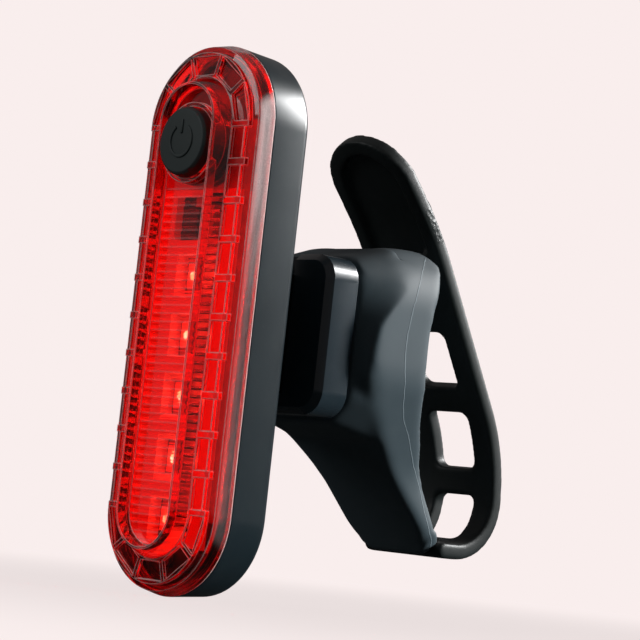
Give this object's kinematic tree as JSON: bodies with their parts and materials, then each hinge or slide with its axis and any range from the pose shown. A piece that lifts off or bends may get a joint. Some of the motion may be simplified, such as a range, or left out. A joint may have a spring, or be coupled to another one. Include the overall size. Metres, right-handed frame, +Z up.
{
  "type": "bike tail light",
  "caption": "Rechargeable bicycle tail light with a red castellated lens on a swivelling clip and a silicone ladder strap mount.",
  "frame": {"origin": "middle of the saddle's hollow seat face, on the face, where the tube touches it", "axes": "+X across the light, +Y from the lens towards the tube, +Z up along the light"},
  "size_m": [0.0272, 0.0623, 0.0744],
  "materials": {
    "lens": "clear red moulding, polished",
    "seal": "moulded rubber ring",
    "housing": "polished blue-grey plastic",
    "board": "green solder mask",
    "screw": "plated steel",
    "lamp": "white package with a yellow lens",
    "reflector": "white moulding",
    "chip": "moulded package",
    "switch": "moulded body",
    "plunger": "moulded plunger",
    "button": "matte silicone",
    "cell": "foil pouch",
    "foam": "foam",
    "tab": "nickel strip",
    "port": "plated steel",
    "tongue": "moulded tongue",
    "cover": "matte rubber",
    "clip": "moulded plastic",
    "socket": "gloss band, matte black face",
    "pivot": "plated steel",
    "washer": "natural nylon",
    "core": "stiff plastic",
    "saddle": "matte silicone",
    "strap": "matte silicone"
  },
  "bodies": {
    "mount": {"saddle": "saddle", "saddle_core": "core", "pivot_screw": "pivot", "pivot_washer": "washer"},
    "strap": {"strap": "strap"},
    "socket": {"clip_socket": "socket"},
    "light": {"lens": "lens", "lens_seal": "seal", "housing": "housing", "circuit_board": "board", "board_screws": "screw", "lamps": "lamp", "reflector": "reflector", "lamp_driver": "chip", "resistors": "chip", "charging_chip": "chip", "switch_body": "switch", "battery_cell": "cell", "battery_pad": "foam", "battery_tabs": "tab", "port_shell": "port", "port_tongue": "tongue", "light_clip": "clip", "clip_screws": "screw"},
    "button": {"button": "button", "switch_plunger": "plunger"},
    "cover": {"port_cover": "cover"}
  },
  "joints": [
    {"name": "socket_swivel", "type": "hinge", "parent": "mount", "child": "socket", "pos_m": [0, -0.0126, 0], "axis": [0, 1, 0], "range_deg": [-90, 90]},
    {"name": "light_release", "type": "slide", "parent": "socket", "child": "light", "axis": [0, 0, 1], "range_m": [0, 0.02]},
    {"name": "button_press", "type": "slide", "parent": "light", "child": "button", "axis": [0, 1, 0], "range_m": [0, 0.0005], "stiffness_N_per_m": 2000},
    {"name": "cover_open", "type": "hinge", "parent": "light", "child": "cover", "pos_m": [-0.01107, -0.02925, -0.02443], "axis": [0, -1, 0], "range_deg": [0, 95]},
    {"name": "strap_open", "type": "hinge", "parent": "mount", "child": "strap", "pos_m": [0, 0.0133, -0.0274], "axis": [-1, 0, 0], "range_deg": [0, 75]}
  ]
}
